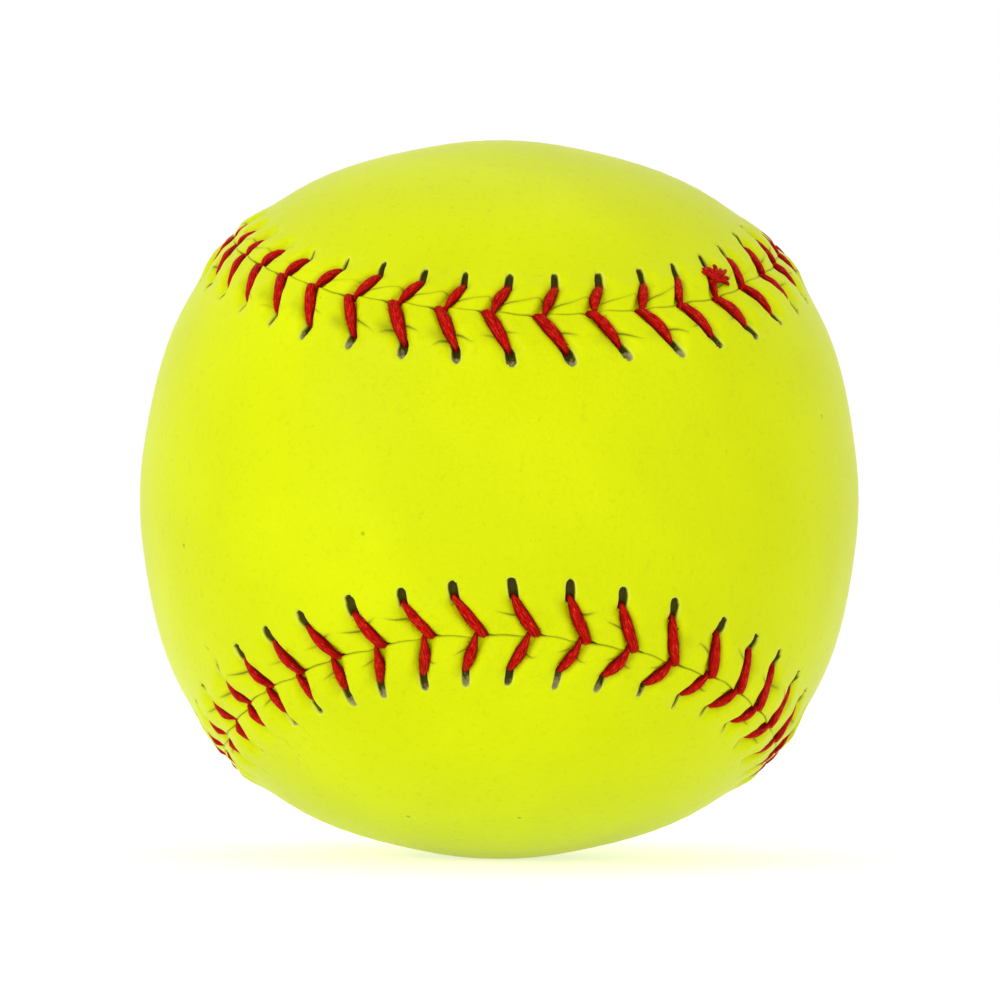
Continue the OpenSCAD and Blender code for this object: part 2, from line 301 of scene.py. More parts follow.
# A patch of painted shade, where the leather puckers, lies behind its stitch, this far from the
# seam, and its half widths are along the seam and away from it
PUCKER_SHADE_BEHIND = 1.6 * MM
PUCKER_SHADE_MM = (3.0, 0.4)
PUCKER_SHADE_HALF = (0.95 * MM, 0.75 * MM)
PUCKER_SHADE_SHOW = 0.4
# How much slots differ in width, length and tilt, and how much and from where they narrow outwards
SLOT_W = (1, 0.1)
SLOT_L_SPREAD = 0.25 * MM
SLOT_TILT = 0.12
SLOT_NARROWING = 0.22
NARROWING_START = 1.2 * MM
# The seam's small strays in millimetres, one wave to a stitch and slower ones round the seam, and
# how far from the seam the panels follow it
STITCH_STRAY = 0.12
SLOW_STRAY = 0.1
STRAY_W = 3 * MM
# The notches in the front panel's edge where the threads go down: how far behind the stitch they
# stand, their half length, how far they reach into the panel and how deep they are
NOTCH_BEHIND = 1.0 * MM
NOTCH_HALF = 0.5 * MM
NOTCH_REACH = 0.7 * MM
NOTCH_MM = (0.13, 0.07)


class Cover:
    """Heights of the cover beside the seam, shared by the panels and by the stitches on them. In
    its methods i is the stitch, s the length along the seam, x the length from the stitch's dip,
    d the distance from the seam and side the panel."""

    def __init__(self, sizes):
        self.sizes = sizes
        self.seam = Seam(sizes.stitch_count, sizes.reach, sizes.hole_shift)
        self.hand = {side: HandWork(sizes.stitch_count, seed) for side, seed in HAND_SEEDS.items()}
        self.slot_start = sizes.reach - sizes.slot_w / 2
        self.slot_end = self.slot_start + sizes.slot_l

    def inner(self, d):
        """Radius of the cover's lower face, which is lifted beside the seam."""
        fade = np.clip((d - self.slot_end) / self.sizes.fade_w, 0, 1)
        return BALL_R - self.sizes.cover_t + self.sizes.lift * (1 + np.cos(np.pi * fade)) / 2

    def dip_s(self, i, side, d):
        """Where the dip under a stitch's leg runs, as a length along the seam."""
        share = np.maximum(0, 1 - d / self.sizes.reach)
        beyond = LEAN_BEYOND * np.clip(d - self.sizes.reach, 0, self.sizes.slot_l)
        offset = side * self.sizes.apex_shift / 2 * share
        return self.seam.stitch(i) + self.sizes.lean * (1 - share) + beyond - offset

    def sway(self, i, side, d):
        """How far a hole and its dip stand off their even row along the seam."""
        away = d / self.sizes.reach
        faded = np.clip((self.slot_end + SWAY_FADE - d) / SWAY_FADE, 0, 1)
        ramp = np.minimum(SWAY_LIMIT, away) * faded
        pulled = self.seam.pulls(i, LEAN_PULLS[side]) * MM
        own = LEAN_SPREAD * self.sizes.lean * self.hand[side].lean[i % self.seam.count]
        slipped = self.seam.pulls(i, HEAD_PULLS[side]) * MM
        return (own + pulled) * ramp + slipped * np.maximum(0, 1 - away)

    def stretch(self, i, side):
        """How much farther from the seam than most a stitch's hole stands."""
        return self.seam.pulls(i, REACH_PULLS[side]) * MM

    def lowness(self, i, side):
        """1 where a slot's far end is its lower end, which light reaches, and else 0."""
        up = self.seam.place(self.seam.stitch(i), np.zeros_like(i, dtype=float))[..., 2]
        return smooth_step(-LIT_RISE, LIT_RISE, up * side)

    def height(self, i, x, d, side):
        """Height over the smooth cover."""
        hand = self.hand[side]
        count = self.seam.count
        reach = self.sizes.reach
        puff = np.where(x > 0, hand.puff[i % count], hand.puff[(i - 1) % count])
        groove_w = varied(GROOVE_MM, hand.dip[i % count]) * MM
        groove = np.exp(-((np.abs(x) / groove_w) ** 3))
        near = smooth_step(0, RISE_W, d) * (1 - SEAM_SHARE) + SEAM_SHARE
        far = bell(np.maximum(0, d - PUFF_END) / PUFF_FADE)
        level = PUFF_SHARE * far + GROOVE_SHARE
        closed = smooth_step(reach + GROOVE_END, reach - GROOVE_FULL, d)
        puffed = PUFF_SHARE * far + PUFF_SPREAD * puff * far * (1 - groove)
        return self.sizes.puff_h * near * (puffed - level * groove * closed)

    def crumple(self, s, d):
        """Height of the small uneven folds where the cover is pulled tight beside the seam."""
        near = bell(np.maximum(0, d - FOLD_END) / FOLD_FADE) * smooth_step(0, FOLD_RISE, d)
        turn = 2 * np.pi / self.seam.length * s
        waves = sum(
            np.sin(count * turn + slope * d / MM + start) for count, slope, start in FOLD_WAVES
        )
        return FOLD_H * waves * near

    def leg_crease(self, index, right, along, d):
        """A short crease of the front panel that starts at a leg."""
        hand = self.hand[FRONT]
        other = hand.puff[index]
        chance = np.where(right, hand.fold[index], hand.dip[index] - 0.5)
        start = np.where(right, *CREASE_STARTS_MM) * MM + CREASE_START_SPREAD * other
        sloped = varied(CREASE_SLOPE, chance) * along
        gap = d - start - sloped - CREASE_BEND * along**2 / MM * other
        length = varied(CREASE_LENGTH_MM, chance) * MM
        return gap, CREASE_SHOW * smooth_step(length, CREASE_RISE, along), chance

    def arc_crease(self, index, i, x, along, d):
        """An arc from leg to leg over the back panel, cut short away from its places."""
        hand = self.hand[BACK]
        chance = hand.fold[index]
        share = np.mod(x / self.seam.pitch, 1)
        rise = varied(ARC_RISE_MM, chance) * smooth_step(0, 0.8, share)
        fall = ARC_FALL_MM * smooth_step(0.7, 1, share)
        arc = varied(ARC_START_MM, hand.puff[index]) + rise - fall
        whole = 0.4 + 0.8 * smooth_step(0.5, 0.1, share) + 0.4 * smooth_step(0.7, 0.95, share)
        short = smooth_step(ARC_CUT, CREASE_RISE, along)
        above = self.seam.pulls(i, ARC_PLACES)
        return d - arc * MM, whole * above + short * (1 - above), chance

    def crease(self, i, x, d, side):
        """Signed distance to the pulled creases beside a stitch, and how strongly they show."""
        right = x > 0
        index = np.where(right, i, i - (side == BACK)) % self.seam.count
        along = np.abs(x) - LEG_EDGE
        if side == FRONT:
            gap, strength, chance = self.leg_crease(index, right, along, d)
        else:
            gap, strength, chance = self.arc_crease(index, i, x, along, d)
        strength = strength * smooth_step(0, CREASE_RISE, along)
        return gap, strength * smooth_step(*CREASE_CHANCE, chance)

    def pucker_shade(self, i, x, d, side):
        """How strongly the painted shade of a pucker beside a stitch shows."""
        hand = self.hand[side]
        index = i % self.seam.count
        chance = hand.twist[index] - (side == BACK)
        middle = varied(PUCKER_SHADE_MM, hand.fold[index]) * MM
        spot = ((x + PUCKER_SHADE_BEHIND) / PUCKER_SHADE_HALF[0]) ** 2 + ((d - middle) / PUCKER_SHADE_HALF[1]) ** 2
        placed_shade = self.seam.pulls(i, PUCKER_SHADE_PLACES) * (side == FRONT)
        shown = PUCKER_SHADE_SHOW * smooth_step(*PUCKER_SHADE_CHANCE, chance) + placed_shade
        return np.exp(-spot) * np.minimum(1, shown)

    def slot_distance(self, i, x, d, side):
        """Distance outside the outline of a stitch slot, a stadium that runs away from the seam."""
        hand = self.hand[side]
        index = i % self.seam.count
        radius = self.sizes.slot_w / 2 * varied(SLOT_W, hand.width[index])
        start = self.slot_start + radius + self.stretch(i, side)
        end = self.slot_end - radius + SLOT_L_SPREAD * hand.slot[index] + self.stretch(i, side)
        narrow = 1 - SLOT_NARROWING * smooth_step(start + NARROWING_START, end + radius, d)
        narrow = narrow * (1 - self.seam.pulls(i, CLOSED_PLACES[side]))
        tilt = x - (d - start) * SLOT_TILT * hand.twist[index]
        return np.hypot(tilt, d - np.clip(d, start, end)) - radius * narrow

    def notch(self, i, s, d, side):
        """How far the threads have drawn the front panel's edge back where they go down."""
        behind = (s - self.seam.stitch(i) + NOTCH_BEHIND) / NOTCH_HALF
        deep = varied(NOTCH_MM, self.hand[side].dip[i % self.seam.count]) * MM
        return deep * bell(behind) * bell(d / NOTCH_REACH) * (side == FRONT)

    def wave(self, s):
        """How far the hand-pulled seam strays from its smooth curve."""
        turn = 2 * np.pi * s / self.seam.pitch
        slow = 2 * np.pi * s / self.seam.length
        stray = STITCH_STRAY * np.sin(turn + 0.4)
        stray = stray + SLOW_STRAY * np.sin(23 * slow + 1) + SLOW_STRAY * np.sin(41 * slow)
        return (stray + self.seam.pulls(s / self.seam.pitch, STRAYS)) * MM

    def point(self, s, d, r, side):
        """A place in the ball's frame, strayed with the seam."""
        stray = self.wave(s) * bell(d / STRAY_W)
        return self.seam.place(s, side * d + stray) * r[..., None]


def grid(bm, columns, rows, place, wrap=True):
    """Adds a grid of columns by rows faces, with its corners where place(column, row) says."""
    made = bmesh.ops.create_grid(
        bm, x_segments=columns, y_segments=rows, size=0.5, calc_uvs=False
    )["verts"]
    corner = np.array([v.co[:2] for v in made]) + 0.5
    column = np.rint(corner[:, 0] * columns).astype(int)
    row = np.rint(corner[:, 1] * rows).astype(int)
    points = place(column % columns if wrap else column, row)
    for vert, point in zip(made, points):
        vert.co = point
    return made, column, row


def finish_mesh(name, bm, material, nodes):
    """Makes an object of a bmesh, dresses it and lets it ride on the ball."""
    for face in bm.faces:
        face.smooth = True
    mesh = bpy.data.meshes.new(name)
    bm.to_mesh(mesh)
    bm.free()
    mesh.materials.append(material)
    piece = bpy.data.objects.new(name, mesh)
    bpy.context.scene.collection.objects.link(piece)
    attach(piece, "root")
    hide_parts(*nodes)
    return piece


PANEL_NODES = {FRONT: "cover_front", BACK: "cover_back"}
# What a panel's vertices measure for its material. Gaps are in millimetres
PANEL_MEASURES = ("slot_gap", "slot_along", "seam_gap", "crease_gap", "crease_show", "pucker_shade")
FAR_GAP = 9
COLUMNS_PER_STITCH = 18
# How much the columns crowd towards the dips
CROWD_SHARE = 0.55
# Rows of a panel's skin: from its middle line over the field and the margin, down the rolled edge
# to the lower face, and back to the middle line
FIELD_ROWS = 12
MARGIN_ROWS = 26
ROLL_ROWS = 4
LINING_ROWS = 4
MARGIN_LAST = FIELD_ROWS + MARGIN_ROWS
EDGE_ROW = MARGIN_LAST + ROLL_ROWS + 1
# The margin ends this far past the slots, and the skin is rounded this far about its middle line
MARGIN_BEYOND = 1.2 * MM
MIDDLE_ROUND = 3 * MM
# The walls of a slot fall to its depth from just outside its outline to just inside
WALL_TOP, WALL_FOOT = 0.06 * MM, -0.14 * MM
# How much of a slot's length its paler end can shift, and how much of it the upper lip can shade
PALE_SPREAD = 0.18
LIP_SHADE = 0.5


def make_panel(cover, side, name, material):
    """One cover panel: a closed skin that runs from its middle line over the margin, rolls down
    into the seam and returns below to its middle line."""
    sizes = cover.sizes
    seam = cover.seam
    columns = seam.count * COLUMNS_PER_STITCH
    margin_start = sizes.seam_gap / 2 + sizes.edge_roll
    margin_end = cover.slot_end + MARGIN_BEYOND
    # The column that ends at the tip of a lobe, and the angle to the seam beyond it
    lead = (FIRST_STITCH_SHARE * seam.pitch + sizes.lean * margin_end / sizes.reach) / seam.pitch
    tip = (columns // 4 if side == FRONT else 0) - round(lead * COLUMNS_PER_STITCH)
    lobe = math.pi - math.acos(-Seam.curve(np.array(0.0))[1])
    measures = {}

    def column_x(column):
        """Where a column runs beside the dip of its stitch."""
        tau = (column % COLUMNS_PER_STITCH) / COLUMNS_PER_STITCH - 0.5
        return seam.pitch * (tau - CROWD_SHARE * np.sin(2 * np.pi * tau) / (2 * np.pi))

    def spine(column):
        """Where a column ends on the panel's middle line."""
        turn = SPINE_SHARE * lobe * np.cos(2 * np.pi * (column - tip) / columns)
        zero = np.zeros_like(turn)
        if side == FRONT:
            return np.stack([np.sin(turn), -np.cos(turn), zero], axis=-1)
        return np.stack([zero, np.cos(turn), np.sin(turn)], axis=-1)

    def angle_to_spine(column, start):
        """Place of a column at a distance from the seam, and its angle from the middle line."""
        i = column // COLUMNS_PER_STITCH
        s = cover.dip_s(i, side, start) + column_x(column)
        u = seam.place(s, side * np.full(column.shape, start))
        return u, np.arccos(np.clip((u * spine(column)).sum(-1), -1, 1))

    def toward_spine(column, start, share):
        """Places on the way to the middle line, and how far from the seam they count as."""
        u, angle = angle_to_spine(column, start)
        _, mirrored = angle_to_spine((2 * tip - column) % columns, start)
        span = (angle + mirrored) / 2 * BALL_R
        a, b = np.sin((1 - share) * angle), np.sin(share * angle)
        way = (u * a[:, None] + spine(column) * b[:, None]) / np.sin(angle)[:, None]
        rest = np.hypot(span * (1 - share), MIDDLE_ROUND)
        return way, start + np.hypot(span, MIDDLE_ROUND) - rest

    def place(column, row):
        """Places of the skin's corners, and what they measure."""
        i = column // COLUMNS_PER_STITCH
        x = column_x(column)
        field = row < FIELD_ROWS
        margin = (row >= FIELD_ROWS) & (row <= MARGIN_LAST)
        rolled = (row > MARGIN_LAST) & (row < EDGE_ROW)
        lining = row > EDGE_ROW

        inward = np.clip((row - FIELD_ROWS) / MARGIN_ROWS, 0, 1)
        margin_d = margin_end + (margin_start - margin_end) * inward
        phi = np.pi / 2 * np.clip(1 - (row - MARGIN_LAST) / ROLL_ROWS, 0, 1)
        edge_d = sizes.seam_gap / 2 + sizes.edge_roll * (1 - np.cos(phi))
        d = np.where(margin | field, margin_d, edge_d)
        drop = np.where(rolled, sizes.edge_roll * (1 - np.sin(phi)), 0)
        drop = np.where(row == EDGE_ROW, sizes.cover_t, drop)

        window = np.cos(np.pi * x / seam.pitch) ** 2
        s = cover.dip_s(i, side, d) + x + cover.sway(i, side, d) * window
        beside = d + cover.notch(i, s, d, side)
        outside = cover.slot_distance(i, x, d, side)
        pocket = sizes.slot_depth * smooth_step(WALL_TOP, WALL_FOOT, outside)
        raised = cover.height(i, x, d, side) + cover.crumple(s, d)
        r = cover.inner(d) + sizes.cover_t + raised - pocket - drop
        points = cover.point(s, beside, r, side)

        u, far_d = toward_spine(column, margin_end, np.clip(1 - row / FIELD_ROWS, 0, 1))
        r_field = cover.inner(far_d) + sizes.cover_t + cover.height(i, x, far_d, side)
        points = np.where(field[:, None], u * r_field[:, None], points)
        below = np.clip((row - EDGE_ROW) / LINING_ROWS, 0, 1)
        v, lining_d = toward_spine(column, sizes.seam_gap / 2, below)
        points = np.where(lining[:, None], v * cover.inner(lining_d)[:, None], points)

        along = (d - cover.slot_start - cover.stretch(i, side)) / sizes.slot_l
        shaded = LIP_SHADE * (1 - cover.lowness(i, side))
        shift = PALE_SPREAD * cover.hand[side].fold[i % seam.count] - shaded
        gap, show = cover.crease(i, x, d, side)
        measures["slot_gap"] = np.where(margin, outside / MM, FAR_GAP)
        measures["slot_along"] = along + shift
        measures["seam_gap"] = np.where(field | margin, beside / MM, 0)
        measures["crease_gap"] = gap / MM
        measures["crease_show"] = np.where(margin, show, 0)
        measures["pucker_shade"] = np.where(margin, cover.pucker_shade(i, x, d, side), 0)
        return points

    bm = bmesh.new()
    layers = {key: bm.verts.layers.float.new(key) for key in PANEL_MEASURES}
    made, _, _ = grid(bm, columns, EDGE_ROW + LINING_ROWS, place)
    for key, layer in layers.items():
        for vert, value in zip(made, measures[key]):
            vert[layer] = value
    bmesh.ops.remove_doubles(bm, verts=bm.verts, dist=0.002 * MM)
    bmesh.ops.dissolve_degenerate(bm, edges=bm.edges, dist=0.001 * MM)
    bmesh.ops.recalc_face_normals(bm, faces=bm.faces)
    return finish_mesh(name, bm, material, [PANEL_NODES[side]])


THREAD_SEED = 17
PLIES = 8
PLY_SIDES = 6
LEG_RINGS = 15
# A leg runs from its hole at 0 to the seam at 1, and on below the cover at both ends
LEG_START, LEG_END = -0.16, 1.1
HOLE_DEPTH = 2.2 * MM
SEAM_DEPTH = 2.4 * MM
# Where legs end beside the seam, and their widths as shares of stitch_w
SEAM_ENDS = {FRONT: 0.1 * MM, BACK: -0.3 * MM}
LEG_WIDTHS = {FRONT: 1.0, BACK: 0.95}
# Half width of a leg from its hole to the seam, as shares of the widest: the front legs end broad
# in the seam, and the back legs taper off under them. TAPER is how much TAPER_PLACES take off
LEG_SHAPE = {
    FRONT: ([0, 0.12, 0.35, 0.6, 0.85, 1], [0.46, 0.68, 0.95, 1, 0.9, 0.84]),
    BACK: ([0, 0.12, 0.35, 0.55, 0.8, 1], [0.54, 0.78, 1, 0.93, 0.6, 0.36]),
}
TAPER = 0.6
# Half height of a leg, as an even value and what its share of the width adds, and how high over
# the cover its middle runs, as a share of that
HALF_HEIGHT_MM = (0.22, 0.3)
SEAT_SHARE = 0.8
# How much legs differ in reach and width, as pairs, and how much they bow
LEG_REACH = (1, 0.03)
LEG_W = (1, 0.08)
BELLY = 0.2 * MM
# How far legs sink in at the hole, rise at the seam, and can hide under leather there
HOLE_SINK = 0.12 * MM
SEAM_RISE = 0.2 * MM
HIDDEN_DEPTH = 0.75 * MM
# Radius of a ply at a leg's ends, and what its middle adds
PLY_R_MM = (0.2, 0.17)
# Turns of the plies round one another in a leg, as a pair
PLY_TURNS = (0.22, 0.12)
# Loose hairs at the edges of each leg
LEG_HAIRS = 7
HAIR_SIDES = 3
HAIR_R = 0.04 * MM
HAIR_LENGTHS_MM = (0.3, 0.7)
# The UV map runs along each ply by a length of its own, and each ply and leg starts elsewhere on it
PLY_UV = 7
PLY_UV_STEP = 3.7
LEG_UV_STEP = 1.3
# Hairs take the place round a ply where the painted shade is lightest
HAIR_V = 0.25
# The leg that the frayed end of the sewing stands on, and the end's strands
KNOTTED = (4, BACK)
KNOT_SEED = 5
STRANDS = 12
STRAND_RINGS = 10
STRAND_SIDES = 8
STRAND_UV = 3
# Angle of the first strand and from one to the next, in degrees, and a strand's radius at its ends
# with what its middle adds
STRAND_FAN = (-48, 14)
STRAND_R_MM = (0.19, 0.1)


def tube(bm, middle, across, lift, radius, sides):
    """Adds a tube round a middle line, with rings in the plane of across and lift. A radius of 0
    closes an end."""
    across, lift = (np.broadcast_to(axis, middle.shape) for axis in (across, lift))

    def place(ring, m):
        angle = 2 * np.pi * (m % sides) / sides
        out = across[ring] * np.cos(angle)[:, None] + lift[ring] * np.sin(angle)[:, None]
        return middle[ring] + out * radius[ring][:, None]

    return grid(bm, len(middle) - 1, sides, place, wrap=False)


def lay_uv(layer, made, u, v):
    """Gives each loop of a tube's faces the UV place of its vertex."""
    where = dict(zip(made, zip(u, v)))
    for face in {f for vert in made for f in vert.link_faces}:
        for loop in face.loops:
            loop[layer].uv = where[loop.vert]


def close_tubes(bm):
    """Merges the ends of tubes and turns their faces outwards."""
    bmesh.ops.remove_doubles(bm, verts=bm.verts, dist=0.001 * MM)
    bmesh.ops.recalc_face_normals(bm, faces=bm.faces)


class Leg:
    """One leg of a stitch, ring by ring from below its slot over the cover and down into the seam:
    the middle line of its bundle of plies, the bundle's half width and half height, and its
    axes."""

    def __init__(self, cover, i, side):
        sizes, seam, hand = cover.sizes, cover.seam, cover.hand[side]
        index = i % seam.count
        here = np.array(i)
        u = np.linspace(LEG_START, LEG_END, LEG_RINGS)
        self.on_cover = on_cover = np.clip(u, 0, 1)

        reach = sizes.reach * varied(LEG_REACH, hand.reach[index])
        reach = reach + float(cover.stretch(here, side))
        d = reach * (1 - on_cover) + SEAM_ENDS[side] * on_cover
        hole_s = cover.dip_s(i, side, np.array(reach)) + cover.sway(i, side, reach)
        slipped = float(seam.pulls(here, HEAD_PULLS[side])) * MM
        apex_s = seam.stitch(i) - side * sizes.apex_shift + slipped
        belly = BELLY * np.sin(np.pi * on_cover) * (1 + hand.twist[index]) * side
        s = hole_s + (apex_s - hole_s) * on_cover + belly
        x = s - cover.dip_s(i, side, d) - cover.sway(i, side, d)

        swell = np.interp(on_cover, *LEG_SHAPE[side])
        taper = TAPER * float(seam.pulls(here, TAPER_PLACES)) * (side == FRONT)
        swell = swell * (1 - taper * smooth_step(0.5, 1, on_cover))
        widest = sizes.stitch_w / 2 * LEG_WIDTHS[side]
        self.half_w = widest * swell * varied(LEG_W, hand.width[index])
        if (index, side) == KNOTTED:
            # Broad at its hole, and thin where the frayed strands cover it
            self.half_w = self.half_w * (1.12 - 0.5 * smooth_step(0.4, 0.7, on_cover))
        self.half_h = varied(HALF_HEIGHT_MM, swell) * MM

        depth = HOLE_DEPTH * smooth_step(0.04, LEG_START, u)
        depth = depth + SEAM_DEPTH * smooth_step(0.97, LEG_END, u)
        off_seam = np.abs(d)
        raised = cover.height(np.full(LEG_RINGS, i), x, off_seam, side)
        base = cover.inner(off_seam) + sizes.cover_t + raised
        sunk = HOLE_SINK * smooth_step(0.45, 0.05, on_cover)
        sunk = sunk - SEAM_RISE * smooth_step(0.35, 0.8, on_cover)
        hidden = float(seam.pulls(here, HIDDEN_PLACES))
        sunk = sunk + HIDDEN_DEPTH * hidden * smooth_step(0.62, 0.92, on_cover)
        r = base + self.half_h * SEAT_SHARE - sunk - depth

        self.centre = cover.point(s, d, r, side)
        self.up = unit(self.centre)
        self.tangent = unit(np.gradient(self.centre, axis=0))
        chord = unit(self.centre[-2] - self.centre[1])
        across = unit(np.cross(np.broadcast_to(chord, self.up.shape), self.up))
        ahead, behind = (cover.point(s + step, d, r, side) for step in (0.1 * MM, -0.1 * MM))
        along_seam = unit(ahead - behind)
        along_seam = along_seam * np.sign((along_seam * across).sum(-1, keepdims=True))
        shear = (smooth_step(0.6, 0.95, u) * (side == FRONT))[:, None]
        self.across = unit(across * (1 - shear) + along_seam * shear)
        self.lift = unit(np.cross(self.across, self.tangent))
        self.turn = 2 * np.pi * varied(PLY_TURNS, hand.twist[index]) * u + i

    def ply(self, k):
        """Middle line, axes and radii of one ply."""
        phase = 2 * np.pi * k / PLIES + self.turn
        radius = varied(PLY_R_MM, np.sin(np.pi * self.on_cover)) * MM
        radius = np.minimum(radius, 0.75 * self.half_w)
        aside = (self.half_w - radius) * np.cos(phase)
        above = (self.half_h - 0.5 * radius) * np.sin(phase)
        middle = self.centre + self.across * aside[:, None] + self.lift * above[:, None]
        radius[[0, -1]] = 0
        return middle, self.across, self.lift, radius

    def hair(self, spread):
        """Middle line, axes and radii of a loose hair that stands off one edge of the leg."""
        at = spread.integers(3, LEG_RINGS - 3)
        edge = spread.choice([-1, 1])
        ray = self.across[at] * edge + self.tangent[at] * spread.uniform(-1.2, 1.2)
        ray = unit(ray + self.lift[at] * spread.uniform(0, 0.6))
        root = self.centre[at] + self.across[at] * edge * 0.8 * self.half_w[at]
        length = spread.uniform(*HAIR_LENGTHS_MM) * MM
        ring = np.arange(3)
        middle = root + ray * (length * ring / 2)[:, None]
        return middle, self.up[at], np.cross(self.up[at], ray), HAIR_R * (1 - abs(ring - 1))


def make_threads(cover, first_side, name, cad_node, material):
    """One thread: the legs that it sews, each a bundle of plies that twist round one another. The
    hairs have a bmesh of their own, because a grid takes longer to add to a fuller one."""
    spread = np.random.default_rng(THREAD_SEED + first_side)
    bm, fuzz = bmesh.new(), bmesh.new()
    ply_uv, hair_uv = (each.loops.layers.uv.new("ply") for each in (bm, fuzz))
    border = bm.verts.layers.float.new("border")
    for i in range(cover.seam.count):
        leg = Leg(cover, i, first_side if i % 2 else -first_side)
        for k in range(PLIES):
            made, ring, m = tube(bm, *leg.ply(k), PLY_SIDES)
            start = PLY_UV_STEP * k + LEG_UV_STEP * i
            lay_uv(ply_uv, made, start + ring / LEG_RINGS * PLY_UV, m / PLY_SIDES)
            # How far across the leg a vertex lies, for the painted shade at its borders
            for vert, at in zip(made, ring):
                aside = (np.array(vert.co) - leg.centre[at]) @ leg.across[at]
                vert[border] = abs(aside) / leg.half_w[at]
        for _ in range(LEG_HAIRS):
            tube(fuzz, *leg.hair(spread), HAIR_SIDES)
    for face in fuzz.faces:
        for loop in face.loops:
            loop[hair_uv].uv = (loop.vert.co.x / MM, HAIR_V)
    hairs = bpy.data.meshes.new("hairs")
    fuzz.to_mesh(hairs)
    fuzz.free()
    bm.from_mesh(hairs)
    bpy.data.meshes.remove(hairs)
    close_tubes(bm)
    return finish_mesh(name, bm, material, [cad_node])


def make_knot(cover, material):
    """The frayed end of the sewing: short strands that fan out from the middle of one leg."""
    i, side = KNOTTED
    seat = Leg(cover, i, side).centre[LEG_RINGS // 2]
    up = seat / np.linalg.norm(seat)
    next_s = cover.seam.stitch(np.array([i + 1.0]))
    ahead = cover.point(next_s, np.array([3.0 * MM]), np.array([BALL_R]), side)[0]
    along = unit(ahead - seat - up * np.dot(ahead - seat, up))
    across = np.cross(up, along)
    spread = np.random.default_rng(KNOT_SEED)
    t = np.linspace(0, 1, STRAND_RINGS)
    bm = bmesh.new()
    ply_uv = bm.loops.layers.uv.new("ply")
    for k in range(STRANDS):
        angle = math.radians(varied(STRAND_FAN, k) + spread.uniform(-5, 5))
        reach = (3.2 - 1.2 * abs(math.sin(angle)) + spread.uniform(-0.3, 0.3)) * MM
        ray = along * math.cos(angle) + across * math.sin(angle)
        aside = np.cross(up, ray)
        bend = aside * spread.uniform(-0.35, 0.35) * MM
        crest = 0.55 + spread.uniform(-0.15, 0.2)
        rise = (0.5 + crest * np.sin(np.pi * t * 0.75) - 0.45 * t**2) * MM
        middle = seat + ray * (reach * t)[:, None] + bend * (t**2)[:, None] + up * rise[:, None]
        radius = varied(STRAND_R_MM, np.sin(np.pi * t)) * MM
        radius[[0, -1]] = 0
        made, ring, m = tube(bm, middle, aside, up, radius, STRAND_SIDES)
        lay_uv(ply_uv, made, PLY_UV_STEP * k + ring / STRAND_RINGS * STRAND_UV, m / STRAND_SIDES)
    close_tubes(bm)
    return finish_mesh("finishing_knot_strands", bm, material, ["finishing_knot"])


def new_material(name):
    """An empty node material and its node tree."""
    material = bpy.data.materials.new(name)
    material.use_nodes = True
    tree = material.node_tree
    tree.nodes.clear()
    return material, tree


def node(tree, kind, settings=None):
    """Adds a node and sets its properties and sockets. A socket is linked where its value is the
    output of another node."""
    made = tree.nodes.new("ShaderNode" + kind)
    for key, value in (settings or {}).items():
        if not isinstance(key, int) and key not in made.inputs:
            setattr(made, key, value)
        elif isinstance(value, bpy.types.NodeSocket):
            tree.links.new(value, made.inputs[key])
        else:
            made.inputs[key].default_value = value
    return made


def calc(tree, operation, *values):
    """The result of a Math node."""
    return node(tree, "Math", {"operation": operation, **dict(enumerate(values))}).outputs[0]


def ramp(tree, value, low, high):
    """0 as far as low and 1 from high on, with an even rise between, whichever is larger."""
    return node(tree, "MapRange", {"From Min": low, "From Max": high, "Value": value}).outputs[0]


def ranged(tree, value, low, high):
    """low where the value is 0, and high where it is 1."""
    return node(tree, "MapRange", {"To Min": low, "To Max": high, "Value": value}).outputs[0]


def mixed(tree, share, low, high):
    """The colour low where share is 0, and high where it is 1."""
    return node(tree, "Mix", {"data_type": "RGBA", 0: share, 6: low, 7: high}).outputs[2]


def painted(tree, base, mask, colour, amount):
    """The base colour, painted over with another by some amount where the mask is 1."""
    return mixed(tree, calc(tree, "MULTIPLY", mask, amount), base, colour)


def band(tree, gap, half_w):
    """1 where a signed distance in millimetres is zero, falling to 0 half_w away."""
    return ramp(tree, calc(tree, "ABSOLUTE", gap), half_w, 0.0)


def noise(tree, place, scale, detail, roughness=0.5):
    """Soft noise."""
    settings = {"Scale": scale, "Detail": detail, "Roughness": roughness, "Vector": place}
    return node(tree, "TexNoise", settings).outputs["Fac"]


def cells(tree, place, scale):
    """Distance to the nearest of points scattered in space."""
    settings = {"feature": "F1", "Scale": scale, "Vector": place}
    return node(tree, "TexVoronoi", settings).outputs["Distance"]


def end_in(tree, kind, settings):
    """Ends a material in a shader."""
    node(tree, "OutputMaterial", {"Surface": node(tree, kind, settings).outputs[0]})


